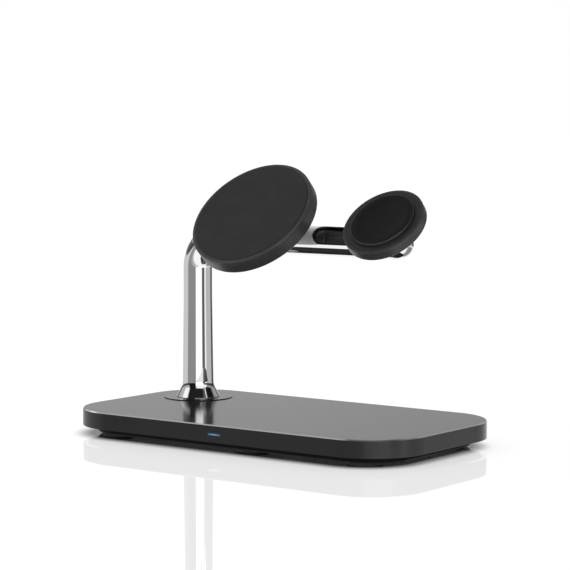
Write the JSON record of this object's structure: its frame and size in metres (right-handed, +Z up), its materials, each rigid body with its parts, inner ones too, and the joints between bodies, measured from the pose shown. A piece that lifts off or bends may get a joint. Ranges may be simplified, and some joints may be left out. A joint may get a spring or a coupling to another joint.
{
  "type": "wireless charging stand",
  "caption": "Wireless charging stand: weighted flat base with an earbud spot, a bent chrome post and arm, and tilting round pads for a phone and a watch.",
  "frame": {"origin": "on the table under the middle of the base, at the level of the feet", "axes": "+X right along the base and the arm, +Y to the back, +Z up; the front with the indicator faces -Y"},
  "size_m": [0.192, 0.1028, 0.13],
  "materials": {
    "base_coat": "dark grey satin coating, fine even texture",
    "cover_black": "black moulded plastic, fine spark texture",
    "rubber_black": "black soft rubber",
    "chrome": "polished chrome plating",
    "steel": "plain zinc-plated steel",
    "brass": "turned brass",
    "hinge_black": "black glass-filled plastic",
    "head_grey": "dark grey satin plastic",
    "disc_black": "black satin plastic",
    "inner_plastic": "black plastic",
    "light_guide": "blue lit clear plastic",
    "circuit_board": "green solder mask",
    "copper": "varnished copper wire",
    "ferrite": "sintered ferrite",
    "magnet": "nickel-plated magnet",
    "lead_jacket": "black lead jacket"
  },
  "bodies": {
    "stand": {"base_housing": "base_coat", "foot_collar": "base_coat", "bottom_cover": "cover_black", "rubber_feet": "rubber_black", "foot_gasket": "rubber_black", "stand_tube": "chrome", "arm_end_cap": "chrome", "ballast_plate": "steel", "stem_nut": "steel", "stem_washer": "steel", "hinge_shaft": "steel", "friction_washers": "steel", "cover_screws": "steel", "board_screws": "steel", "power_inlet_shell": "steel", "anchor_bush": "brass", "centre_bush": "hinge_black", "spacer_bush": "hinge_black", "earbud_coil_holder": "inner_plastic", "power_inlet_tongue": "inner_plastic", "indicator_lens": "light_guide", "main_board": "circuit_board", "indicator_board": "circuit_board", "earbud_coil": "copper", "earbud_ferrite": "ferrite", "arm_lead": "lead_jacket"},
    "phone_head": {"phone_pad": "rubber_black", "phone_knuckle_screws": "steel", "phone_yoke": "steel", "phone_knuckle": "hinge_black", "phone_rear_shell": "head_grey", "phone_front_cover": "head_grey", "phone_carrier": "inner_plastic", "phone_board": "circuit_board", "phone_coil": "copper", "phone_ferrite": "ferrite", "phone_magnets": "magnet", "phone_lead": "lead_jacket"},
    "watch_head": {"watch_knuckle_screws": "steel", "watch_knuckle": "hinge_black", "watch_rear_shell": "head_grey", "watch_bezel": "disc_black", "watch_charge_disc": "disc_black", "watch_board": "circuit_board", "watch_coil": "copper", "watch_ferrite": "ferrite", "watch_magnet": "magnet", "watch_lead": "lead_jacket"}
  },
  "joints": [
    {"name": "phone_tilt", "type": "hinge", "parent": "stand", "child": "phone_head", "pos_m": [-0.02375, 0.0217, 0.094], "axis": [1, 0, 0], "range_deg": [-15, 25]},
    {"name": "watch_tilt", "type": "hinge", "parent": "stand", "child": "watch_head", "pos_m": [0.051, 0.0217, 0.094], "axis": [1, 0, 0], "range_deg": [-15, 25]}
  ]
}
